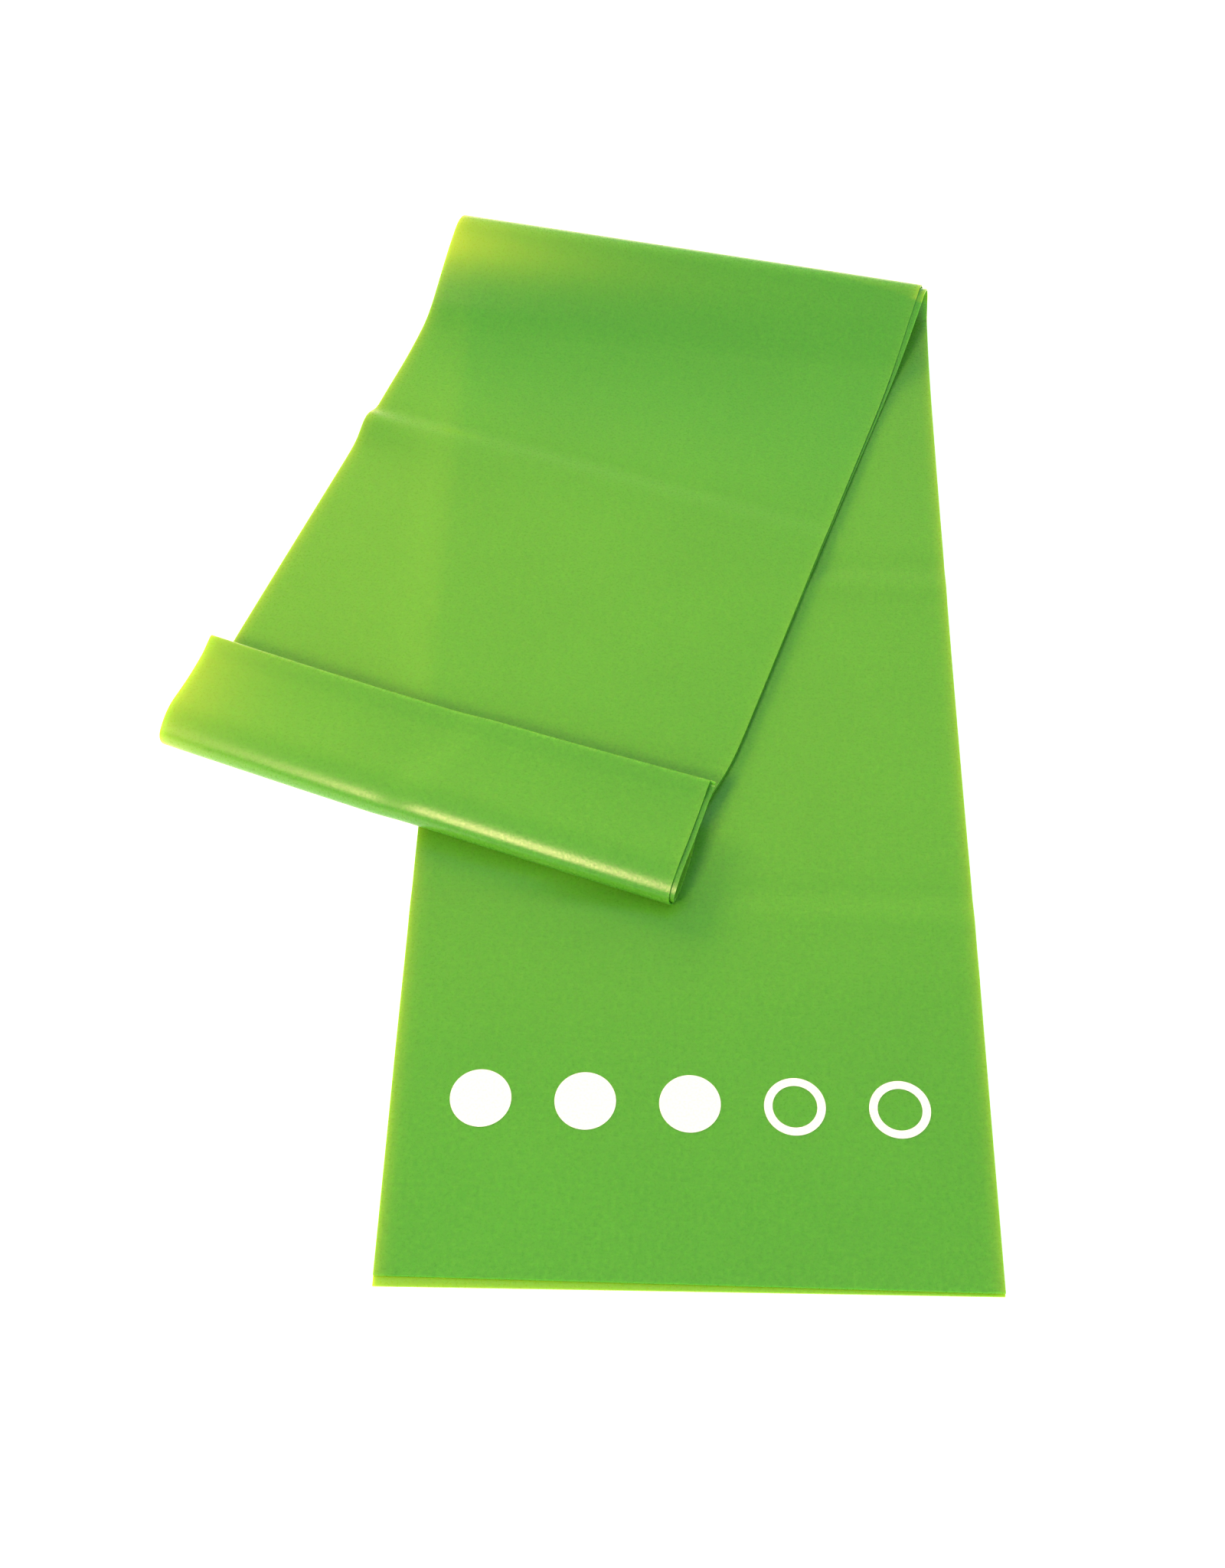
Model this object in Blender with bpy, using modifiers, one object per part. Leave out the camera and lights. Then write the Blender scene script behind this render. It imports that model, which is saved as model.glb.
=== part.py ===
"""Flat latex resistance band, folded as it is laid out for use or storage.

The band is one long strip of sheet latex, doubled over at its middle, so every stretch of it is
two plies.  The doubled strip lies flat as the lower run, turns up and over in a loose slanted
fold, runs back as the upper run, and its closed middle is turned back on top as a flap.

The centre surface between the two plies is described once, by centre_surface(), from the place
across the band and the distance along it.  Each solid is a stretch of one ply, offset to its side
of that surface.  Metres, +Z up, and the band rests on z = 0.
"""

import math

import bmesh
import bpy
from mathutils import Matrix, Vector

# Driving dimensions of the band.
BAND_LENGTH = 1.260
BAND_WIDTH = 0.150
THICKNESS = 0.0005
PLY_GAP = 0.0004
SEAM_GAP = 0.0004

# How it lies: the lower run's length along its middle, and the angle between the two runs.
LOWER_RUN = 0.352
RUN_ANGLE = math.radians(18.85)
RUN_RISE = 0.0019

# The loose top fold: a round back, a straight slope forward, and a soft return to level.
LOOP_RADIUS = 0.0094
LOOP_SLOPE = math.radians(41)
LOOP_RETURN_RADIUS = 0.022
FOLD_PIVOT_SETBACK = 0.004

# The flap: how far forward its bend reaches, its bend, and how it rises to its far edge.
FLAP_FRONT = 0.0949
FLAP_RADIUS = 0.0042
FLAP_RISE = math.radians(2.5)
FLAP_PIVOT_ADVANCE = 0.002

# Where the printed end bends when it is lifted off the ply below, clear of the opened flap.
LIFT_LINE = 0.062

# The printed level scale: filled discs, then open rings, in one row across the band.
MARKS_FILLED = 3
MARKS_TOTAL = 5
MARK_CENTRE = 0.046
MARK_PITCH = 0.0262
MARK_RADIUS = 0.0077
MARK_RING_WIDTH = 0.0021
INK_THICKNESS = 0.0001
INK_GAP = 0.00005

# Fineness of the solids.
ACROSS_STEPS = 6
ARC_STEPS = 14
SLOPE_STEPS = 2

# Worked out from the driving dimensions.
PLY_OFFSET = (THICKNESS + PLY_GAP) / 2
GROUND_HEIGHT = THICKNESS + PLY_GAP / 2
CENTRE_LENGTH = BAND_LENGTH / 2 - math.pi * PLY_OFFSET / 2
FOLD_ALONG = Vector((math.cos(RUN_ANGLE / 2), -math.sin(RUN_ANGLE / 2), 0))
FOLD_FORTH = Vector((math.sin(RUN_ANGLE / 2), math.cos(RUN_ANGLE / 2), 0))
FOLD_CENTRE = Vector((0, LOWER_RUN, GROUND_HEIGHT))
RUN_RIGHT = Vector((math.cos(RUN_ANGLE), -math.sin(RUN_ANGLE), 0))
RUN_BACK = Vector((math.sin(RUN_ANGLE), math.cos(RUN_ANGLE), 0))
UP = Vector((0, 0, 1))

PRINTED_SIDE = 1
BACK_SIDE = -1

LATEX = (0.170, 0.450, 0.050)
LATEX_BEND = (0.215, 0.520, 0.060)
INK = (0.88, 0.91, 0.88)


class Profile:
    """A curve in a vertical plane, of stretches of constant curvature, that starts out level."""

    def __init__(self, stretches):
        self.stretches = stretches
        self.starts = [(0.0, 0.0, 0.0)]
        for length, turn in stretches:
            self.starts.append(self.advance(self.starts[-1], length, turn / length))
        self.length = sum(length for length, turn in stretches)
        self.end_reach, self.end_height, self.end_heading = self.starts[-1]

    @staticmethod
    def advance(start, distance, curvature):
        reach, height, heading = start
        turned = heading + curvature * distance
        if curvature == 0:
            reach += distance * math.cos(heading)
            height += distance * math.sin(heading)
        else:
            reach += (math.sin(turned) - math.sin(heading)) / curvature
            height += (math.cos(heading) - math.cos(turned)) / curvature
        return reach, height, turned

    def at(self, distance):
        """Reach, height and heading this far along, going on straight past the last stretch."""
        for start, (length, turn) in zip(self.starts, self.stretches):
            if distance <= length:
                return self.advance(start, distance, turn / length)
            distance -= length
        return self.advance(self.starts[-1], distance, 0)


def top_fold_profile():
    """The slope's length brings the doubled sheet down to just above the lower run."""
    crest = LOOP_RADIUS * (1 + math.cos(LOOP_SLOPE))
    landing = LOOP_RETURN_RADIUS * (1 - math.cos(LOOP_SLOPE))
    slope = (crest - landing - RUN_RISE) / math.sin(LOOP_SLOPE)
    return Profile(
        [
            (LOOP_RADIUS * (math.pi + LOOP_SLOPE), math.pi + LOOP_SLOPE),
            (slope, 0),
            (LOOP_RETURN_RADIUS * LOOP_SLOPE, -LOOP_SLOPE),
        ]
    )


def flap_profile():
    """A little less than a half turn, so that the flap rises from its bend to its far edge."""
    return Profile([(FLAP_RADIUS * (math.pi - FLAP_RISE), math.pi - FLAP_RISE)])


TOP_FOLD = top_fold_profile()
FLAP = flap_profile()

# The top fold starts where the upper run becomes the lower run's mirror image in the fold line.
FOLD_START = -(TOP_FOLD.length + TOP_FOLD.end_reach) / 2
FOLD_END = FOLD_START + TOP_FOLD.length
BEND_BACK = FLAP_FRONT + FLAP_RADIUS
BEND_START = LOWER_RUN * (1 + math.cos(RUN_ANGLE)) - BEND_BACK
BEND_END = BEND_START + FLAP.length


def centre_surface(across, along):
    """Point and normal of the surface between the plies.  The normal points to the printed ply."""
    flat = Vector((across, along - LOWER_RUN, 0))
    sideways = flat.dot(FOLD_ALONG)
    forth = flat.dot(FOLD_FORTH)
    if forth <= FOLD_START:
        return Vector((across, along, GROUND_HEIGHT)), UP.copy()
    if forth <= FOLD_END:
        reach, height, heading = TOP_FOLD.at(forth - FOLD_START)
        point = FOLD_CENTRE + FOLD_ALONG * sideways + FOLD_FORTH * (FOLD_START + reach) + UP * height
        return point, UP * math.cos(heading) - FOLD_FORTH * math.sin(heading)
    point = FOLD_CENTRE + FOLD_ALONG * sideways - FOLD_FORTH * forth + UP * TOP_FOLD.end_height
    if along <= BEND_START:
        return point, -UP
    beyond = along - BEND_START
    reach, height, heading = FLAP.at(beyond)
    point += RUN_BACK * (beyond - reach) + UP * height
    return point, -RUN_BACK * math.sin(heading) - UP * math.cos(heading)


def square_row(along):
    """A row of the sheet at right angles to its edges, as (distance along, slant)."""
    return along, 0.0


def slanted_row(forth):
    """A row of the sheet parallel to the top fold, this far beyond the fold line."""
    return LOWER_RUN + forth / FOLD_FORTH.y, -FOLD_FORTH.x / FOLD_FORTH.y


def rows_between(first, last, steps):
    return [
        tuple(a + (b - a) * step / steps for a, b in zip(first, last)) for step in range(steps + 1)
    ]


def new_material(name, colour, roughness):
    material = bpy.data.materials.new(name)
    material.use_nodes = True
    shader = material.node_tree.nodes["Principled BSDF"]
    shader.inputs["Base Color"].default_value = (*colour, 1)
    shader.inputs["Roughness"].default_value = roughness
    shader.inputs["Metallic"].default_value = 0
    material.diffuse_color = (*colour, 1)
    return material


def add_object(name, mesh, colour, roughness, body):
    """A new object whose mesh is given in band coordinates, carried by the empty of its body."""
    mesh.transform((bodies["lower_run"].matrix_world.inverted() @ body.matrix_world).inverted())
    mesh.materials.append(new_material(name + "_finish", colour, roughness))
    item = bpy.data.objects.new(name, mesh)
    item.parent = body
    band.objects.link(item)
    return item


def add_sheet(name, columns, colour, body):
    """A closed sheet from a grid of points, solidified to the ply's thickness and shaded smooth."""
    shape = bmesh.new()
    grid = [[shape.verts.new(point) for point in column] for column in columns]
    for left, right in zip(grid, grid[1:]):
        for near in range(len(left) - 1):
            shape.faces.new((left[near], right[near], right[near + 1], left[near + 1]))
    mesh = bpy.data.meshes.new(name)
    shape.to_mesh(mesh)
    shape.free()
    mesh.shade_smooth()
    item = add_object(name, mesh, colour, 0.42, body)
    wall = item.modifiers.new("ply_thickness", "SOLIDIFY")
    wall.thickness = THICKNESS
    wall.offset = 0
    wall.use_even_offset = True
    return item


def add_ply(name, side, rows, colour, body):
    """A stretch of one ply: the centre surface's rows, moved to the ply's side of it."""
    columns = []
    for step in range(ACROSS_STEPS + 1):
        across = BAND_WIDTH * (step / ACROSS_STEPS - 0.5)
        column = []
        for along, slant in rows:
            point, normal = centre_surface(across, along + slant * across)
            column.append(point + normal * PLY_OFFSET * side)
        columns.append(column)
    return add_sheet(name, columns, colour, body)


def add_lower_run():
    """Both plies from the free ends to the start of the top fold."""
    fold_edge = slanted_row(FOLD_START - SEAM_GAP / 2)
    add_ply("lower_run_back_ply", BACK_SIDE, [square_row(0), fold_edge], LATEX, bodies["lower_run"])
    printed = [square_row(LIFT_LINE + SEAM_GAP / 2), fold_edge]
    add_ply("lower_run_top_ply", PRINTED_SIDE, printed, LATEX, bodies["lower_run"])
    lifted = [square_row(0), square_row(LIFT_LINE - SEAM_GAP / 2)]
    add_ply("printed_end_ply", PRINTED_SIDE, lifted, LATEX, bodies["printed_end"])


def add_top_fold():
    """The two plies round the loose fold, the back ply outside and the printed ply inside."""
    loop_end = FOLD_START + TOP_FOLD.stretches[0][0]
    slope_end = loop_end + TOP_FOLD.stretches[1][0]
    first = slanted_row(FOLD_START + SEAM_GAP / 2)
    last = slanted_row(FOLD_END - SEAM_GAP / 2)
    rows = rows_between(first, slanted_row(loop_end), ARC_STEPS)
    rows += rows_between(slanted_row(loop_end), slanted_row(slope_end), SLOPE_STEPS)[1:]
    rows += rows_between(slanted_row(slope_end), last, ARC_STEPS // 3)[1:]
    add_ply("top_fold_outer_bend", BACK_SIDE, rows, LATEX_BEND, bodies["lower_run"])
    add_ply("top_fold_inner_bend", PRINTED_SIDE, rows, LATEX_BEND, bodies["lower_run"])


def add_upper_run():
    rows = [slanted_row(FOLD_END + SEAM_GAP / 2), square_row(BEND_START - SEAM_GAP / 2)]
    add_ply("upper_run_top_ply", BACK_SIDE, rows, LATEX, bodies["upper_run"])
    add_ply("upper_run_under_ply", PRINTED_SIDE, rows, LATEX, bodies["upper_run"])


def add_flap():
    """The turned-back end: its two bends, its two plies and the closed middle of the band."""
    first = square_row(BEND_START + SEAM_GAP / 2)
    bend = rows_between(first, square_row(BEND_END - SEAM_GAP / 2), ARC_STEPS)
    add_ply("flap_outer_bend", PRINTED_SIDE, bend, LATEX_BEND, bodies["upper_run"])
    add_ply("flap_inner_bend", BACK_SIDE, bend, LATEX_BEND, bodies["upper_run"])
    plies = [square_row(BEND_END + SEAM_GAP / 2), square_row(CENTRE_LENGTH - SEAM_GAP)]
    add_ply("flap_top_ply", PRINTED_SIDE, plies, LATEX, bodies["end_flap"])
    add_ply("flap_under_ply", BACK_SIDE, plies, LATEX, bodies["end_flap"])


def add_middle_bend():
    """The closed middle of the band: a half tube that joins the flap's two plies."""
    columns = []
    for step in range(ACROSS_STEPS + 1):
        across = BAND_WIDTH * (step / ACROSS_STEPS - 0.5)
        before, normal = centre_surface(across, CENTRE_LENGTH - SEAM_GAP)
        point, normal = centre_surface(across, CENTRE_LENGTH)
        outward = (point - before).normalized()
        column = []
        for turn in range(ARC_STEPS // 2 + 1):
            angle = math.pi * turn / (ARC_STEPS // 2)
            round_end = normal * math.cos(angle) + outward * math.sin(angle)
            column.append(point + round_end * PLY_OFFSET)
        columns.append(column)
    add_sheet("middle_bend", columns, LATEX_BEND, bodies["end_flap"])


def outline_mesh(radii):
    """A flat disc, or a ring where two radii are given, as thick as the ink."""
    curve = bpy.data.curves.new("outline", "CURVE")
    curve.dimensions = "2D"
    curve.fill_mode = "BOTH"
    curve.extrude = INK_THICKNESS / 2
    for radius in radii:
        spline = curve.splines.new("POLY")
        corners = 36
        spline.points.add(corners - 1)
        for corner, point in enumerate(spline.points):
            angle = 2 * math.pi * corner / corners
            point.co = (radius * math.cos(angle), radius * math.sin(angle), 0, 1)
        spline.use_cyclic_u = True
    guide = bpy.data.objects.new("outline", curve)
    band.objects.link(guide)
    graph = bpy.context.evaluated_depsgraph_get()
    mesh = bpy.data.meshes.new_from_object(guide.evaluated_get(graph))
    bpy.data.objects.remove(guide)
    shape = bmesh.new()
    shape.from_mesh(mesh)
    bmesh.ops.remove_doubles(shape, verts=shape.verts, dist=1e-6)
    bmesh.ops.recalc_face_normals(shape, faces=shape.faces)
    shape.to_mesh(mesh)
    shape.free()
    return mesh


def add_level_scale():
    """The printed row on the free end: filled discs up to the band's level, then open rings."""
    height = GROUND_HEIGHT + PLY_OFFSET + THICKNESS / 2 + INK_GAP + INK_THICKNESS / 2
    for number in range(MARKS_TOTAL):
        radii = [MARK_RADIUS]
        if number >= MARKS_FILLED:
            radii.append(MARK_RADIUS - MARK_RING_WIDTH)
        mesh = outline_mesh(radii)
        across = (number - (MARKS_TOTAL - 1) / 2) * MARK_PITCH
        mesh.transform(Matrix.Translation((across, MARK_CENTRE, height)))
        add_object(f"level_mark_{number + 1}", mesh, INK, 0.35, bodies["printed_end"])


def add_pivot(name, place, turn, parent):
    """An empty whose X axis is the line that a body turns about, placed in band coordinates."""
    pivot = bpy.data.objects.new(name, None)
    pivot.empty_display_type = "ARROWS"
    pivot.empty_display_size = 0.03
    band.objects.link(pivot)
    pivot.matrix_world = bodies["lower_run"].matrix_world @ (
        Matrix.Translation(place) @ Matrix.Rotation(turn, 4, "Z")
    )
    pivot.parent = parent
    pivot.matrix_parent_inverse = parent.matrix_world.inverted()
    return pivot


def centred_on_floor():
    """Where band coordinates lie so that the origin is the middle of the band's footprint."""
    near_left = centre_surface(-BAND_WIDTH / 2, BEND_START)[0] - RUN_BACK * (
        FLAP_RADIUS + PLY_OFFSET + THICKNESS / 2
    )
    loop_back = slanted_row(FOLD_START + LOOP_RADIUS * math.pi / 2)
    far_left_along = loop_back[0] - loop_back[1] * BAND_WIDTH / 2
    far_left = centre_surface(-BAND_WIDTH / 2, far_left_along)[0] + FOLD_FORTH * (
        PLY_OFFSET + THICKNESS / 2
    )
    return Matrix.Translation((-(near_left.x + BAND_WIDTH / 2) / 2, -far_left.y / 2, 0))


def clear_scene():
    for item in list(bpy.data.objects):
        bpy.data.objects.remove(item)


def new_collection(name):
    collection = bpy.data.collections.new(name)
    bpy.context.scene.collection.children.link(collection)
    return collection


def add_bodies():
    """The empties that carry each moving stretch, on the line that it turns about."""
    root = bpy.data.objects.new("lower_run_frame", None)
    root.matrix_world = centred_on_floor()
    band.objects.link(root)
    bodies["lower_run"] = root

    lift_height = GROUND_HEIGHT + PLY_OFFSET + THICKNESS / 2
    bodies["printed_end"] = add_pivot(
        "printed_end_pivot", Vector((0, LIFT_LINE, lift_height)), 0, root
    )
    fold_pivot = FOLD_CENTRE - FOLD_FORTH * FOLD_PIVOT_SETBACK + UP * RUN_RISE / 2
    bodies["upper_run"] = add_pivot("upper_run_pivot", fold_pivot, -RUN_ANGLE / 2, root)

    bend_middle = centre_surface(0, BEND_START)[0]
    flap_pivot = bend_middle - RUN_BACK * (FLAP_RADIUS + FLAP_PIVOT_ADVANCE) + UP * FLAP_RADIUS
    bodies["end_flap"] = add_pivot("end_flap_pivot", flap_pivot, -RUN_ANGLE, bodies["upper_run"])


clear_scene()
band = new_collection("resistance_band")
bodies = {}
add_bodies()
bpy.context.view_layer.update()
add_lower_run()
add_top_fold()
add_upper_run()
add_flap()
add_middle_bend()
add_level_scale()
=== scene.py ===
"""The looks of the flat latex resistance band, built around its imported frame.

The band is one strip of sheet latex, doubled over at its middle.  The doubled strip lies flat as
the lower run, turns up and over in a loose slanted fold, comes back as the upper run, and its
closed middle is turned back on top as a flap.

centre_surface() gives the surface between the two plies, from the place across the band and the
distance along it.  The five pieces of latex are stretches of the strip, which meet just inside
the top fold and under the flap.  Band coordinates have their origin at the middle of the free
ends, +Y along the lower run; ORIGIN places them in the frame.  Metres throughout.
"""

import math

import bpy
import numpy as np
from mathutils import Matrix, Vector


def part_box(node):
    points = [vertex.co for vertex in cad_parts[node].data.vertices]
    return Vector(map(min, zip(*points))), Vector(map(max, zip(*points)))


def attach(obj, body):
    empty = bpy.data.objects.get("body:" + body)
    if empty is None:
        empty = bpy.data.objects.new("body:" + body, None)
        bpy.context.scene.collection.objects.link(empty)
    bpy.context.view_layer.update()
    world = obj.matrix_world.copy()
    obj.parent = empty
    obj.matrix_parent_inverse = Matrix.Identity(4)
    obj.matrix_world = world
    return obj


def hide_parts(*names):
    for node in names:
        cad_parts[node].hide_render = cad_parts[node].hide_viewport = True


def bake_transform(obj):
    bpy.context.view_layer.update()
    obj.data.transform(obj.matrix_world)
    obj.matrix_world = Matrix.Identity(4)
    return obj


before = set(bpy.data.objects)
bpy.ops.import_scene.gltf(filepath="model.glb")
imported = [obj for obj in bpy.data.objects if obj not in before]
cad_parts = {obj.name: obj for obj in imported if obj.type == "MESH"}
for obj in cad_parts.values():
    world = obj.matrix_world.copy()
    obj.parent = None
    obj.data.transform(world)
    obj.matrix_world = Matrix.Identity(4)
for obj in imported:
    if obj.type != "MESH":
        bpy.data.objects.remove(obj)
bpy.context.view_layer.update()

# The band, and how it lies.  These repeat the frame's driving dimensions.
BAND_LENGTH = 1.260
THICKNESS = 0.0005
PLY_OFFSET = 0.00045
GROUND_HEIGHT = 0.0007
LOWER_RUN = 0.352
RUN_ANGLE = math.radians(18.85)
RUN_RISE = 0.0019

free_end_low, free_end_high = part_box("printed_end_ply")
BAND_WIDTH = free_end_high.x - free_end_low.x
ORIGIN = Vector((free_end_low.x + BAND_WIDTH / 2, free_end_low.y, 0))
CENTRE_LENGTH = BAND_LENGTH / 2 - math.pi * PLY_OFFSET / 2

FOLD_ALONG = Vector((math.cos(RUN_ANGLE / 2), -math.sin(RUN_ANGLE / 2), 0))
FOLD_FORTH = Vector((math.sin(RUN_ANGLE / 2), math.cos(RUN_ANGLE / 2), 0))
FOLD_CENTRE = Vector((0, LOWER_RUN, GROUND_HEIGHT))
RUN_RIGHT = Vector((math.cos(RUN_ANGLE), -math.sin(RUN_ANGLE), 0))
RUN_BACK = Vector((math.sin(RUN_ANGLE), math.cos(RUN_ANGLE), 0))
UP = Vector((0, 0, 1))

# Which side of the centre surface a ply is on, as a turn about its closed middle.
PRINTED_PLY = 0.0
BACK_PLY = math.pi

# The back ply's free end shows past the printed one: where it starts along the band, and its slant.
BACK_FREE_END = (-0.0014, 0.012)

# The loose top fold, at the left edge and at the right edge of the band: up the back, over the
# crest and its shoulder, down a slope to the foot, and out along a tail that levels out.
LOOP_BACK_RADIUS = (0.0139, 0.0073)
LOOP_CREST_RADIUS = (0.0074, 0.0056)
LOOP_SHOULDER = (math.radians(27), math.radians(16))
LOOP_SLOPE = (math.radians(37), math.radians(22))
LOOP_SHOULDER_LENGTH = 0.014
LOOP_FOOT_RADIUS = 0.023
LOOP_TAIL_SLOPE = math.radians(7)
LOOP_TAIL_LENGTH = (0.0195, 0.0215)

# How far round the loop the lower pieces end and the upper pieces start, and how far round it the
# middle of its crest is at the left edge.
LOOP_SEAM = 0.007
CREST_ROUND_LOOP = 0.041

# A direction that rises at this slope and leans sideways by this much.  add_upper_run works it
# out, but nothing uses it.
OPENING_SLOPE = math.radians(152)
OPENING_LEAN = 0.064

# The upper run lies a little to the right of where a perfect fold would put it, and hangs down
# beyond the left edge of the lower run.
DRIFT = 0.0012
SAG = 0.0008
SAG_WIDTH = 0.012

# Waves and creases fade in over this distance from the loop.
SETTLING = 0.03

# The flap, at its left end and at its right end: up from its foot, over a brow with a flat facet
# and over the top, then down into a shallow hollow and up to its far edge.
FLAP_FRONT = (0.0936, 0.0944)
FLAP_BOW = 0.0006
FLAP_FOOT_RADIUS = (0.0048, 0.0036)
FLAP_BROW_RADIUS = (0.0032, 0.0026)
FLAP_BROW_SLOPE = math.radians(40)
FLAP_FACET_LENGTH = 0.0028
FLAP_FACET_TURN = math.radians(12)
FLAP_TOP_LENGTH = 0.007
FLAP_DIP = (math.radians(6), math.radians(3))
FLAP_RISE = (math.radians(10), math.radians(9))
FLAP_DIP_LENGTH = 0.003
FLAP_HOLLOW_LENGTH = 0.020
MIDDLE_RADIUS = 0.0011
MIDDLE_OPENING = 0.006

# How far before the flap's bend the upper pieces end and the flap's piece starts.
FLAP_SEAM = 0.012

# The upper run's right edge is drawn in by EDGE_TUCK, most at TUCK_PLACE before the flap's bend,
# and the flap's right end is drawn in by FLAP_SKEW at its far edge.
EDGE_TUCK = 0.0024
TUCK_PLACE = 0.028
TUCK_WIDTH = 0.013
FLAP_SKEW = 0.0006

# The printed ply is shifted to the right round the top fold, and to the left in the flap.
FOLD_SHIFTS = ((0.0012, 0.03), (0.0008, 0.1))
FLAP_SHIFT = 0.0014
FLAP_SHIFT_START = 0.585

# The lower run's creases, each a distance along the band and how far it lifts.  They rise on their
# near side and dip on their far side, on a wider swell.
LOWER_CREASES = ((0.104, 0.0003), (0.2185, 0.0003))
CREASE_WIDTH = 0.004
CREASE_SWELL = 0.02
LOWER_WAVE = 0.0001

# The long hump near the free ends: its height, its place and slant across the band, its width.
NEAR_HUMP = 0.0012
NEAR_HUMP_PLACE = 0.072
NEAR_HUMP_SLANT = 0.15
NEAR_HUMP_WIDTH = 0.05

# The upper run's crease: a ridge that is highest at the left edge and drawn out on its near side,
# with a slight trough behind it.  Pairs are for the left edge and the right edge of the band.
UPPER_CREASE = (0.4573, 0.4553)
RIDGE = (0.0011, 0.00044)
RIDGE_AT_EDGE = 0.0028
RIDGE_BACK_WIDTH = 0.0060
RIDGE_FRONT_WIDTH = (0.0065, 0.0205)
TROUGH = (0.0007, 0.00021)
TROUGH_PLACE = 0.007
TROUGH_WIDTH = 0.0035
UPPER_WAVE = 0.00012
UPPER_LIFT = 0.0003

# How much painted light makes the latex paler and yellower, from 0 to 1.  First comes painted glow
# where light
# shines through the edges: at the left edge, at the lower run's right edge, and at the right edge of
# the rest.
LEFT_EDGE_PAINTED_LIGHT = 0.5
LOWER_RIGHT_EDGE_PAINTED_LIGHT = 0.35
UPPER_RIGHT_EDGE_PAINTED_LIGHT = 0.05
EDGE_PAINTED_LIGHT_DEPTH = 0.0012
# Painted light that grows along the lower run from its free end, and along the upper run from past the
# top fold, leaving painted shade near the free end, in front of the fold and towards the right.
LOWER_RUN_PAINTED_LIGHT = (0.08, 0.048)
LOWER_PAINTED_LIGHT_LENGTH = 0.16
UPPER_RUN_PAINTED_LIGHT = (0.08, 0.04)
UPPER_PAINTED_LIGHT_START = 0.05
UPPER_PAINTED_LIGHT_LENGTH = 0.08
# Painted light from the pale floor through the upper run, where it lies beyond the lower run's left
# edge.
FLOOR_PAINTED_LIGHT = 0.035
FLOOR_PAINTED_LIGHT_BLUR = 0.003
# Painted light through the raised flap: a little all over, more towards its left end, and most at its
# left corner.
FLAP_PAINTED_LIGHT = 0.03
FLAP_LEFT_PAINTED_LIGHT = 0.15
FLAP_CORNER_PAINTED_LIGHT = 0.28
# A painted highlight where light shines through the left of the loop's crest, and how wide it is.
CREST_PAINTED_HIGHLIGHT = 0.75
CREST_PAINTED_HIGHLIGHT_WIDTH = 0.010
# Painted light at the back ply's free end, where it shows past the printed one, and how deep it
# reaches.
FREE_END_PAINTED_LIGHT = 0.5
FREE_END_PAINTED_LIGHT_DEPTH = 0.0035

# Shares of the band's width where its surface is sampled, closer together near the edges.
EDGE_SAMPLES = [0.478, 0.49, 0.497, 0.5]
MIDDLE_SAMPLES = [step / 56 - 0.5 for step in range(2, 55)]
ACROSS = [-sample for sample in reversed(EDGE_SAMPLES)] + MIDDLE_SAMPLES + EDGE_SAMPLES

# The ink of a mark, and the steps that it is built in.
INK_GAP = 0.00002
INK_THICKNESS = 0.00008
MARK_COUNT = 5
MARK_RINGS = 6
MARK_SEGMENTS = 72

CAMERA_PLACE = Vector((-0.0134, -0.1528, 0.4446))
CAMERA_DOWN = 0.984
CAMERA_LEFT = 0.030
CAMERA_LENS = 43.945
SENSOR_WIDTH = 36
FLOOR_REACH = 3.0


def mix(pair, share):
    return pair[0] + (pair[1] - pair[0]) * share


def smooth(share):
    """A smooth step from 0 to 1."""
    share = min(1.0, max(0.0, share))
    return share * share * (3 - 2 * share)


def bell(distance, width):
    return math.exp(-((distance / width) ** 2))


def fade(distance, length):
    return math.exp(-distance / length)


def left_share(across):
    """The share of the way from the left edge of the band to its right edge."""
    return across / BAND_WIDTH + 0.5


class Profile:
    """A curve in a vertical plane, of stretches of constant curvature, that starts out level."""

    def __init__(self, stretches):
        self.stretches = stretches
        self.starts = [(0.0, 0.0, 0.0)]
        for length, turn in stretches:
            self.starts.append(self.advance(self.starts[-1], length, turn / length))
        self.length = sum(length for length, turn in stretches)
        self.end_reach, self.end_height, _ = self.starts[-1]

    @staticmethod
    def advance(start, distance, curvature):
        reach, height, heading = start
        turned = heading + curvature * distance
        if curvature == 0:
            reach += distance * math.cos(heading)
            height += distance * math.sin(heading)
        else:
            reach += (math.sin(turned) - math.sin(heading)) / curvature
            height += (math.cos(heading) - math.cos(turned)) / curvature
        return reach, height, turned

    def at(self, distance):
        """Reach, height and heading this far along, going on straight past the last stretch."""
        for start, (length, turn) in zip(self.starts, self.stretches):
            if distance <= length:
                return self.advance(start, distance, turn / length)
            distance -= length
        return self.advance(self.starts[-1], distance, 0)


def top_fold(share):
    """The loop's profile at this share of the way from the left edge to the right edge."""
    back = mix(LOOP_BACK_RADIUS, share)
    crest = mix(LOOP_CREST_RADIUS, share)
    shoulder = mix(LOOP_SHOULDER, share)
    slope = mix(LOOP_SLOPE, share)
    bends = [
        (back * math.pi / 2, math.pi / 2),
        (crest * (math.pi / 2 + shoulder), math.pi / 2 + shoulder),
        (LOOP_SHOULDER_LENGTH, slope - shoulder),
    ]
    foot = [
        (LOOP_FOOT_RADIUS * (slope - LOOP_TAIL_SLOPE), LOOP_TAIL_SLOPE - slope),
        (mix(LOOP_TAIL_LENGTH, share), -LOOP_TAIL_SLOPE),
    ]
    drop = Profile(bends + foot).end_height - RUN_RISE
    return Profile(bends + [(drop / math.sin(slope), 0)] + foot)


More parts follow.
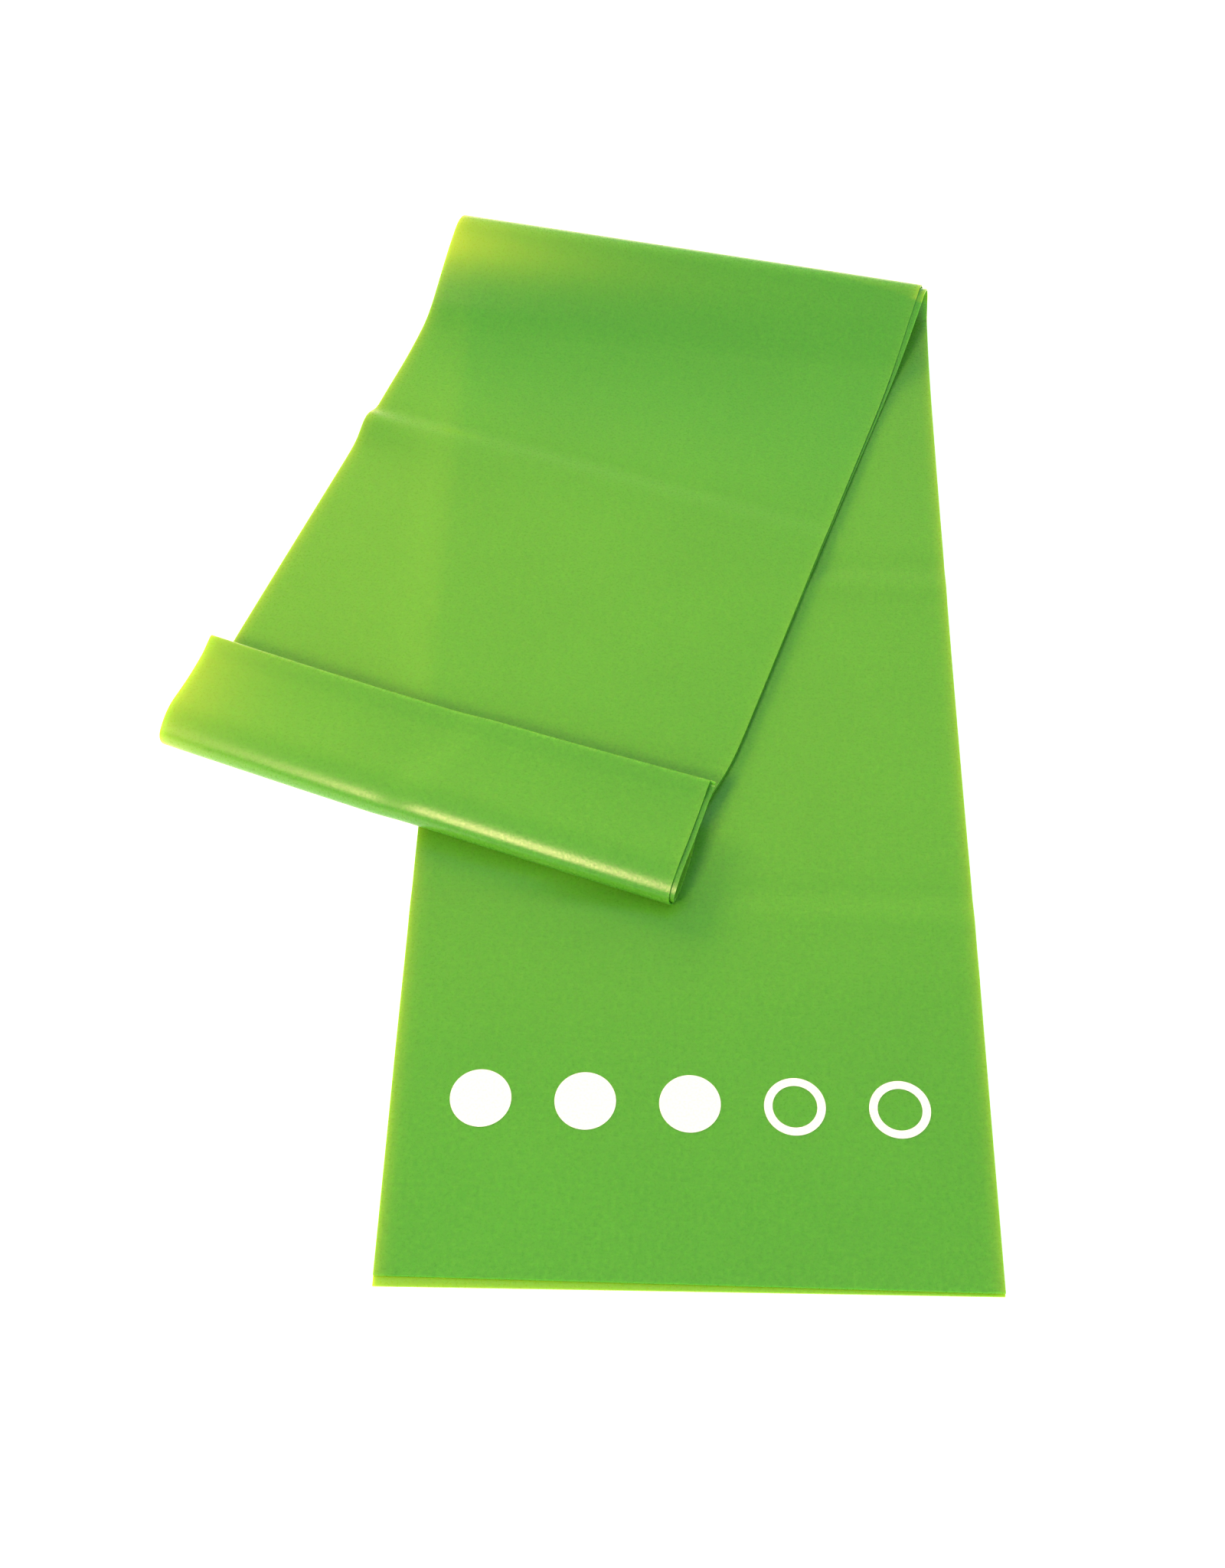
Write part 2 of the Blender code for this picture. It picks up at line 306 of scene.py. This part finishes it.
def flap(share):
    """The flap's profile, from its foot to its far edge."""
    dip = mix(FLAP_DIP, share)
    rise = mix(FLAP_RISE, share)
    brow = math.pi / 2 - FLAP_BROW_SLOPE
    return Profile(
        [
            (mix(FLAP_FOOT_RADIUS, share) * math.pi / 2, math.pi / 2),
            (mix(FLAP_BROW_RADIUS, share) * brow, brow),
            (FLAP_FACET_LENGTH, FLAP_FACET_TURN),
            (FLAP_TOP_LENGTH, FLAP_BROW_SLOPE - FLAP_FACET_TURN + dip),
            (FLAP_DIP_LENGTH, 0),
            (FLAP_HOLLOW_LENGTH, -dip - rise),
        ]
    )


def bend_start(share):
    """The place along the band where it starts to turn up into the flap's bend."""
    front = mix(FLAP_FRONT, share) - FLAP_BOW * math.sin(math.pi * min(1.0, max(0.0, share)))
    return LOWER_RUN * (1 + math.cos(RUN_ANGLE)) - front - mix(FLAP_FOOT_RADIUS, share)


def fold_start(profile):
    """The loop starts where the upper run becomes the lower run's mirror image in the fold line."""
    return -(profile.length + profile.end_reach) / 2


def lower_relief(across, along):
    """How far the lower run stands off the floor: in a long hump near its free end, along its two
    creases, and in slight waves."""
    lift = LOWER_WAVE * (1 + math.sin(31 * along + 14 * across))
    peak = NEAR_HUMP_PLACE + NEAR_HUMP_SLANT * across
    lift += NEAR_HUMP * (fade(abs(along - peak), NEAR_HUMP_WIDTH) - fade(peak, NEAR_HUMP_WIDTH))
    for place, height in LOWER_CREASES:
        away = along - place
        rise = bell(away + CREASE_WIDTH, CREASE_WIDTH)
        dip = bell(away - CREASE_WIDTH, CREASE_WIDTH)
        lift += height * (bell(away, CREASE_SWELL) + rise - dip)
    return max(0.0, lift)


def upper_relief(across, along):
    """How far the upper run stands up: along its crease, and in waves."""
    share = left_share(across)
    away = along - mix(UPPER_CREASE, share)
    width = RIDGE_BACK_WIDTH if away < 0 else mix(RIDGE_FRONT_WIDTH, smooth(3 * share))
    ridge = mix(RIDGE, share) + RIDGE_AT_EDGE * fade(share, 0.12)
    crease = ridge * bell(away, width) - mix(TROUGH, share) * bell(away + TROUGH_PLACE, TROUGH_WIDTH)
    return crease + UPPER_LIFT + UPPER_WAVE * (1 + math.sin(47 * along - 21 * across))


def centre_surface(across, along):
    """Point and normal of the surface between the plies.  The normal points to the printed ply."""
    flat = Vector((across, along - LOWER_RUN, 0))
    forth = flat.dot(FOLD_FORTH)
    fold_line = FOLD_CENTRE + FOLD_ALONG * flat.dot(FOLD_ALONG)
    loop = top_fold(left_share(across))
    start = fold_start(loop)
    if forth <= start:
        height = GROUND_HEIGHT + lower_relief(across, along) * smooth((start - forth) / SETTLING)
        return Vector((across, along, height)), UP.copy()
    if forth <= start + loop.length:
        reach, height, heading = loop.at(forth - start)
        point = fold_line + FOLD_FORTH * (start + reach) + UP * height
        point += RUN_RIGHT * DRIFT * smooth((forth - start) / loop.length)
        return point, UP * math.cos(heading) - FOLD_FORTH * math.sin(heading)
    point = fold_line - FOLD_FORTH * forth + UP * loop.end_height + RUN_RIGHT * DRIFT
    sag = SAG * smooth((-BAND_WIDTH / 2 - 0.001 - point.x) / SAG_WIDTH)
    settled = smooth((forth - start - loop.length) / SETTLING)
    point += UP * (upper_relief(across, along) - sag) * settled
    return flap_surface(left_share(across), along, point)


def flap_surface(share, along, point):
    """Point and normal near and beyond the flap's bend, from the point where the upper run would
    lie without it."""
    beyond = along - bend_start(share)
    point -= RUN_RIGHT * EDGE_TUCK * share**6 * bell(beyond + TUCK_PLACE, TUCK_WIDTH)
    if beyond <= 0:
        return point, -UP
    reach, height, heading = flap(share).at(beyond)
    point += RUN_BACK * (beyond - reach) + UP * height
    point -= RUN_RIGHT * FLAP_SKEW * share * share * smooth((beyond - 0.01) / 0.035)
    return point, -RUN_BACK * math.sin(heading) - UP * math.cos(heading)


def half_gap(along):
    """From the centre surface to the middle of a ply.  It opens up at the closed middle."""
    opening = smooth((along - CENTRE_LENGTH + MIDDLE_OPENING) / MIDDLE_OPENING)
    return PLY_OFFSET + (MIDDLE_RADIUS - PLY_OFFSET) * opening


def ply_shift(turn, across, along):
    """The plies lie a little askew: this one's shift sideways, to the right of the band."""
    if turn >= math.pi / 2:
        return 0.0
    in_fold = sum(shift * bell(along - LOWER_RUN, width) for shift, width in FOLD_SHIFTS)
    in_flap = FLAP_SHIFT * smooth((along - FLAP_SHIFT_START) / 0.012)
    return in_fold * smooth(left_share(across) * 2 - 1) - in_flap


def ply_point(turn, across, along):
    """A point in the middle of a ply, in band coordinates."""
    point, normal = centre_surface(across, along)
    offset = normal * math.cos(turn)
    if 0 < turn < math.pi:
        before, _ = centre_surface(across, along - 0.001)
        offset += (point - before).normalized() * math.sin(turn)
    return point + offset * half_gap(along) + RUN_RIGHT * ply_shift(turn, across, along)


def slanted(forth):
    """A row of the sheet parallel to the top fold, this far beyond the fold line: the place where
    it crosses the band's middle, and its slant."""
    return LOWER_RUN + forth / FOLD_FORTH.y, -FOLD_FORTH.x / FOLD_FORTH.y


def rows_through(turn, keys):
    """Rows from key to key, each (base, slant, spacing from the key before it)."""
    rows = [(turn, keys[0][0], keys[0][1])]
    for (base, slant, _), (next_base, next_slant, spacing) in zip(keys, keys[1:]):
        count = max(1, math.ceil(abs(next_base - base) / spacing))
        for step in range(1, count + 1):
            share = step / count
            rows.append((turn, base + (next_base - base) * share, slant + (next_slant - slant) * share))
    return rows


LOOP_MIDDLE = top_fold(0.5)
LOOP_START = fold_start(LOOP_MIDDLE)
LOOP_END = LOOP_START + LOOP_MIDDLE.length
LOOP_CREST = fold_start(top_fold(0)) + CREST_ROUND_LOOP
SEAM = slanted(LOOP_START + LOOP_SEAM)
HIDDEN_SEAM = min(bend_start(0), bend_start(1)) - FLAP_SEAM


def lower_rows(turn):
    """From the free end to just inside the loop, with the rows closer together at the creases."""
    free_end = (0.0, 0.0) if turn == PRINTED_PLY else BACK_FREE_END
    keys = [
        (*free_end, 0),
        (0.098, 0.0, 0.003),
        (0.116, 0.0, 0.0009),
        (0.208, 0.0, 0.003),
        (0.228, 0.0, 0.0009),
        (0.262, 0.0, 0.003),
        (*slanted(LOOP_START - 0.003), 0.0025),
        (*SEAM, 0.0008),
    ]
    return rows_through(turn, keys)


def upper_rows(turn):
    """From just inside the loop, over it, and along the upper run to the seam under the flap."""
    keys = [
        (*SEAM, 0),
        (*slanted(LOOP_START + 0.050), 0.0008),
        (*slanted(LOOP_END), 0.0013),
        (0.438, 0.0, 0.002),
        (0.468, 0.0, 0.001),
        (HIDDEN_SEAM, 0.0, 0.003),
    ]
    return rows_through(turn, keys)


def flap_rows():
    """Out along the printed ply, round the closed middle of the band, and back."""
    keys = [
        (HIDDEN_SEAM, 0.0, 0),
        (bend_start(0.5), 0.0, 0.0015),
        (bend_start(0.5) + 0.017, 0.0, 0.0005),
        (CENTRE_LENGTH - 0.007, 0.0, 0.001),
        (CENTRE_LENGTH, 0.0, 0.0006),
    ]
    out = rows_through(PRINTED_PLY, keys)
    turns = [(math.pi * step / 10, CENTRE_LENGTH, 0.0) for step in range(1, 10)]
    back = [(BACK_PLY, base, slant) for turn, base, slant in reversed(out)]
    return out + turns + back


def painted_edge_light(share, along):
    """Painted light along the two long edges, where light shines through the thin latex."""
    right = LOWER_RIGHT_EDGE_PAINTED_LIGHT if along < LOWER_RUN else UPPER_RIGHT_EDGE_PAINTED_LIGHT
    at_left = LEFT_EDGE_PAINTED_LIGHT * fade(share * BAND_WIDTH, EDGE_PAINTED_LIGHT_DEPTH)
    return at_left + right * fade((1 - share) * BAND_WIDTH, EDGE_PAINTED_LIGHT_DEPTH)


def painted_run_light(share, along, sideways):
    """Painted light away from the edges: more along each run, leaving painted shade near the free end
    and in front of the top fold; painted light from the pale floor where only the upper run lies on it,
    to the left of the lower run; and the most painted light at the flap's left end."""
    if along < LOWER_RUN:
        return mix(LOWER_RUN_PAINTED_LIGHT, share) * smooth(along / LOWER_PAINTED_LIGHT_LENGTH)
    if along < HIDDEN_SEAM:
        onward = smooth((along - LOWER_RUN - UPPER_PAINTED_LIGHT_START) / UPPER_PAINTED_LIGHT_LENGTH)
        on_floor = smooth(0.5 - (sideways + BAND_WIDTH / 2) / FLOOR_PAINTED_LIGHT_BLUR)
        return mix(UPPER_RUN_PAINTED_LIGHT, share) * onward + FLOOR_PAINTED_LIGHT * on_floor
    corner = FLAP_CORNER_PAINTED_LIGHT * math.exp(-((share / 0.08) ** 1.3))
    return FLAP_PAINTED_LIGHT + FLAP_LEFT_PAINTED_LIGHT * fade(share, 0.3) + corner


def painted_back_ply_light(share, across, along):
    """The back ply's extra painted light: a painted highlight at the left of the loop's crest, and
    painted light at its free end.
    """
    past_crest = along - LOWER_RUN + FOLD_FORTH.x * across - LOOP_CREST
    on_crest = CREST_PAINTED_HIGHLIGHT * fade(share, 0.19) * bell(past_crest, CREST_PAINTED_HIGHLIGHT_WIDTH)
    at_free_end = FREE_END_PAINTED_LIGHT * (1 - smooth(along / FREE_END_PAINTED_LIGHT_DEPTH))
    return on_crest + at_free_end


def painted_light_amount(turn, across, along, sideways):
    """How much painted light makes the latex paler and yellower at this place; less of it leaves
    painted shade.
    """
    share = left_share(across)
    shown = painted_edge_light(share, along) + painted_run_light(share, along, sideways)
    if turn == BACK_PLY:
        shown += painted_back_ply_light(share, across, along)
    return min(1.0, shown)


def place_in_scene(name, data):
    item = bpy.data.objects.new(name, data)
    bpy.context.scene.collection.objects.link(item)
    return item


def shell(name, rows):
    """A closed sheet of latex from rows of the ply's middle surface, as thick as the ply."""
    grid = np.empty((len(rows), len(ACROSS), 3))
    place = np.empty((len(rows), len(ACROSS), 3))
    painted_light_share = np.empty((len(rows), len(ACROSS)))
    for i, (turn, base, slant) in enumerate(rows):
        for j, share in enumerate(ACROSS):
            across = share * BAND_WIDTH
            along = base + slant * across
            point = ply_point(turn, across, along)
            grid[i, j] = point + ORIGIN
            run = along if turn < math.pi / 2 else BAND_LENGTH - along
            place[i, j] = (across, run, 0)
            # Painted light: how far this point's colour goes towards pale yellow.
            painted_light_share[i, j] = painted_light_amount(turn, across, along, point.x)
    normal = np.cross(np.gradient(grid, axis=1), np.gradient(grid, axis=0))
    normal /= np.linalg.norm(normal, axis=2, keepdims=True)
    half = normal * THICKNESS / 2
    points = np.concatenate([(grid + half).reshape(-1, 3), (grid - half).reshape(-1, 3)])
    mesh = bpy.data.meshes.new(name)
    mesh.from_pydata(points.tolist(), [], sheet_faces(len(rows), len(ACROSS)))
    store_places(mesh, np.tile(place.reshape(-1, 3), (2, 1)))
    # Painted light and shade, stored on both faces of the sheet for the material.
    painted_light_layer = mesh.attributes.new("painted_light", "FLOAT", "POINT")
    painted_light_layer.data.foreach_set("value", np.tile(painted_light_share.ravel(), 2))
    smooth_shading(mesh, 50)
    return place_in_scene(name, mesh)


def sheet_faces(rows, columns):
    """The two faces of the sheet and the cut edge all round it."""
    under = rows * columns
    index = [list(range(row * columns, (row + 1) * columns)) for row in range(rows)]
    faces = []
    for near, far in zip(index, index[1:]):
        for a, b, c, d in zip(near, near[1:], far[1:], far):
            faces.append((a, b, c, d))
            faces.append((d + under, c + under, b + under, a + under))
    right = [row[-1] for row in index[1:]]
    left = [row[0] for row in index[-2:0:-1]]
    ring = index[0] + right + index[-1][-2::-1] + left
    for a, b in zip(ring, ring[1:] + ring[:1]):
        faces.append((b, a, a + under, b + under))
    return faces


def store_places(mesh, places):
    """Each point's place on the flat strip, for the materials' noise."""
    layer = mesh.attributes.new("sheet_place", "FLOAT_VECTOR", "POINT")
    layer.data.foreach_set("vector", np.ravel(places))


def smooth_shading(mesh, sharp_degrees):
    mesh.shade_smooth()
    mesh.set_sharp_from_angle(angle=math.radians(sharp_degrees))


def new_material(name):
    material = bpy.data.materials.new(name)
    material.use_nodes = True
    nodes = material.node_tree.nodes
    shader = nodes["Principled BSDF"]
    return material, nodes, material.node_tree.links, shader


def noise(nodes, links, place, scale, detail):
    texture = nodes.new("ShaderNodeTexNoise")
    texture.inputs["Scale"].default_value = scale
    texture.inputs["Detail"].default_value = detail
    texture.inputs["Roughness"].default_value = 0.5
    links.new(place, texture.inputs["Vector"])
    return texture.outputs["Fac"]


def ramp(nodes, links, value, low, high, dark, pale):
    """A colour that goes from dark to pale as the value goes from low to high."""
    node = nodes.new("ShaderNodeValToRGB")
    node.color_ramp.elements[0].position = low
    node.color_ramp.elements[0].color = (*dark, 1)
    node.color_ramp.elements[1].position = high
    node.color_ramp.elements[1].color = (*pale, 1)
    links.new(value, node.inputs["Fac"])
    return node.outputs["Color"]


def blend_colours(nodes, links, share, first, second, mode="MIX"):
    node = nodes.new("ShaderNodeMix")
    node.data_type = "RGBA"
    node.blend_type = mode
    for socket, value in ((node.inputs[0], share), (node.inputs[6], first), (node.inputs[7], second)):
        if isinstance(value, (tuple, float)):
            socket.default_value = value
        else:
            links.new(value, socket)
    return node.outputs[2]


def attribute(nodes, name):
    node = nodes.new("ShaderNodeAttribute")
    node.attribute_name = name
    return node


def latex_material():
    """Dusted natural latex: a satin green with fine mottling, made paler and yellower by painted light.
    """
    material, nodes, links, shader = new_material("green_latex")
    place = attribute(nodes, "sheet_place").outputs["Vector"]
    painted_light_share = attribute(nodes, "painted_light").outputs["Fac"]
    mottle = noise(nodes, links, place, 900, 2)
    cloud = noise(nodes, links, place, 22, 3)
    green = ramp(nodes, links, mottle, 0.25, 0.75, (0.076, 0.325, 0.020), (0.108, 0.408, 0.028))
    patchy = ramp(nodes, links, cloud, 0.3, 0.7, (0.94, 0.95, 0.96), (1.0, 1.0, 1.0))
    body = blend_colours(nodes, links, 1.0, green, patchy, "MULTIPLY")
    # Painted light: the green goes towards pale yellow where the stored painted-light share is high,
    # for light shining through the latex and painted highlights.
    colour = blend_colours(nodes, links, painted_light_share, body, (0.55, 0.70, 0.040, 1))
    links.new(colour, shader.inputs["Base Color"])
    grain = noise(nodes, links, place, 1500, 3)
    dull = ramp(nodes, links, grain, 0.3, 0.7, (0.25,) * 3, (0.33,) * 3)
    links.new(dull, shader.inputs["Roughness"])
    shader.inputs["Subsurface Weight"].default_value = 0.7
    shader.inputs["Subsurface Radius"].default_value = (0.5, 1.0, 0.3)
    shader.inputs["Subsurface Scale"].default_value = 0.0015
    bump = nodes.new("ShaderNodeBump")
    bump.inputs["Strength"].default_value = 0.12
    bump.inputs["Distance"].default_value = 0.0002
    links.new(grain, bump.inputs["Height"])
    links.new(bump.outputs["Normal"], shader.inputs["Normal"])
    return material


def ink_material():
    """White ink, a little uneven where it lies on the dusted latex."""
    material, nodes, links, shader = new_material("white_ink")
    place = attribute(nodes, "sheet_place").outputs["Vector"]
    speckle = noise(nodes, links, place, 1800, 3)
    colour = ramp(nodes, links, speckle, 0.3, 0.62, (0.80, 0.86, 0.78), (0.93, 0.94, 0.93))
    links.new(colour, shader.inputs["Base Color"])
    shader.inputs["Roughness"].default_value = 0.4
    return material


def floor_material():
    """A pale, dull floor that shines a little by itself, so that it stays near white in shadow."""
    material, _, _, shader = new_material("pale_floor")
    shader.inputs["Base Color"].default_value = (0.93, 0.93, 0.93, 1)
    shader.inputs["Roughness"].default_value = 0.9
    shader.inputs["Specular IOR Level"].default_value = 0.0
    shader.inputs["Emission Color"].default_value = (1, 1, 1, 1)
    shader.inputs["Emission Strength"].default_value = 0.6
    return material


latex = latex_material()
ink = ink_material()


def add_latex(name, rows, nodes):
    piece = shell(name, rows)
    piece.data.materials.append(latex)
    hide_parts(*nodes)
    return piece


def add_lower_run():
    """The two plies of the lower run; the back one is carried by the lower run's body."""
    printed_nodes = ["lower_run_top_ply", "printed_end_ply"]
    printed = add_latex("printed_ply_lower_run", lower_rows(PRINTED_PLY), printed_nodes)
    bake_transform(printed)
    back = add_latex("back_ply_lower_run", lower_rows(BACK_PLY), ["lower_run_back_ply"])
    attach(back, "lower_run")


def add_upper_run():
    """The two plies round the top fold and along the upper run."""
    towards = FOLD_FORTH * math.cos(OPENING_SLOPE) + UP * math.sin(OPENING_SLOPE)
    towards += FOLD_ALONG * OPENING_LEAN
    plies = {
        "printed_ply_upper_run": (PRINTED_PLY, ["top_fold_inner_bend", "upper_run_under_ply"]),
        "back_ply_upper_run": (BACK_PLY, ["top_fold_outer_bend", "upper_run_top_ply"]),
    }
    for name, (turn, nodes) in plies.items():
        piece = add_latex(name, upper_rows(turn), nodes)
        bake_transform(piece)


def add_flap():
    """Both plies of the flap, in one piece round the closed middle of the band."""
    nodes = ["flap_outer_bend", "flap_inner_bend", "flap_top_ply", "flap_under_ply", "middle_bend"]
    piece = add_latex("flap", flap_rows(), nodes)
    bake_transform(piece)


def mark_radii(node, centre, radius):
    """Radii of a mark's rings of points, from 0 or from the hole in the frame's own mark."""
    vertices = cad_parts[node].data.vertices
    hole = min(math.hypot(v.co.x - centre.x, v.co.y - centre.y) for v in vertices)
    inner = hole if hole < 0.9 * radius else 0.0
    return [inner + (radius - inner) * step / MARK_RINGS for step in range(MARK_RINGS + 1)]


def mark_faces(ring_count):
    """The top and the underside of a mark, and its rims."""
    layer = ring_count * MARK_SEGMENTS
    outer = layer - MARK_SEGMENTS
    steps = [(step, (step + 1) % MARK_SEGMENTS) for step in range(MARK_SEGMENTS)]
    faces = []
    for first in range(0, outer, MARK_SEGMENTS):
        for step, following in steps:
            a = first + step
            b = first + following
            next_a = a + MARK_SEGMENTS
            next_b = b + MARK_SEGMENTS
            faces.append((a, next_a, next_b, b))
            faces.append((b + layer, next_b + layer, next_a + layer, a + layer))
    for a, b in steps:
        faces.append((a + outer, a + outer + layer, b + outer + layer, b + outer))
        faces.append((b, b + layer, a + layer, a))
    return faces


def add_mark(node):
    """A printed mark: a disc, or a ring where the frame's own mark is open, laid on the ply."""
    low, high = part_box(node)
    centre = (low + high) / 2
    radii = mark_radii(node, centre, (high.x - low.x) / 2)
    points = []
    places = []
    for height in (INK_GAP + INK_THICKNESS, INK_GAP):
        for radius in radii:
            for step in range(MARK_SEGMENTS):
                angle = 2 * math.pi * step / MARK_SEGMENTS
                across = centre.x - ORIGIN.x + radius * math.cos(angle)
                along = centre.y - ORIGIN.y + radius * math.sin(angle)
                surface = ply_point(PRINTED_PLY, across, along)
                points.append(tuple(surface + ORIGIN + UP * (THICKNESS / 2 + height)))
                places.append((across, along, 0))
    mesh = bpy.data.meshes.new(node + "_ink")
    mesh.from_pydata(points, [], mark_faces(len(radii)))
    store_places(mesh, places)
    smooth_shading(mesh, 40)
    mesh.materials.append(ink)
    piece = place_in_scene(node + "_ink", mesh)
    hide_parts(node)
    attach(piece, "printed_end")


def add_floor():
    mesh = bpy.data.meshes.new("floor")
    corners = [(-FLOOR_REACH, -FLOOR_REACH, 0), (FLOOR_REACH, -FLOOR_REACH, 0)]
    corners += [(FLOOR_REACH, FLOOR_REACH, 0), (-FLOOR_REACH, FLOOR_REACH, 0)]
    mesh.from_pydata(corners, [], [(0, 1, 2, 3)])
    mesh.materials.append(floor_material())
    place_in_scene("floor", mesh)


def add_light(name, place, size, power, colour, reflected=True):
    """A round lamp that faces the frame's origin.  One that isn't reflected leaves no highlight."""
    data = bpy.data.lights.new(name, "AREA")
    data.shape = "DISK"
    data.size = size
    data.energy = power
    data.color = colour
    lamp = place_in_scene(name, data)
    lamp.location = place
    lamp.visible_glossy = reflected
    lamp.rotation_euler = (-Vector(place)).to_track_quat("-Z", "Y").to_euler()


def add_camera():
    data = bpy.data.cameras.new("camera")
    data.sensor_width = SENSOR_WIDTH
    data.sensor_fit = "AUTO"
    data.lens = CAMERA_LENS
    camera = place_in_scene("camera", data)
    camera.location = ORIGIN + CAMERA_PLACE
    camera.rotation_euler = (math.pi / 2 - CAMERA_DOWN, 0, CAMERA_LEFT)
    bpy.context.scene.camera = camera


def add_studio():
    """Warm lamps behind on the left, a warm one in front on the left for the highlight, a cool one
    in front, and a pale cool surround."""
    world = bpy.data.worlds.new("studio")
    world.use_nodes = True
    world.node_tree.nodes["Background"].inputs["Color"].default_value = (0.76, 1.0, 1.06, 1)
    world.node_tree.nodes["Background"].inputs["Strength"].default_value = 0.68
    bpy.context.scene.world = world
    add_light("key", (-0.60, 0.85, 0.62), 0.45, 6.2, (2.0, 1.0, 0.44), reflected=False)
    add_light("low back", (-0.5, 1.8, 0.45), 0.8, 24, (1.7, 1.0, 0.50), reflected=False)
    add_light("highlight", (-0.60, -0.86, 1.10), 0.35, 10.5, (1.4, 1.0, 0.50))
    add_light("fill", (0.0, -1.3, 0.9), 0.8, 3.5, (0.9, 1.0, 1.1), reflected=False)
    bpy.context.scene.view_settings.view_transform = "Standard"


add_camera()
add_studio()
add_floor()
add_lower_run()
add_upper_run()
add_flap()
for number in range(1, MARK_COUNT + 1):
    add_mark(f"level_mark_{number}")
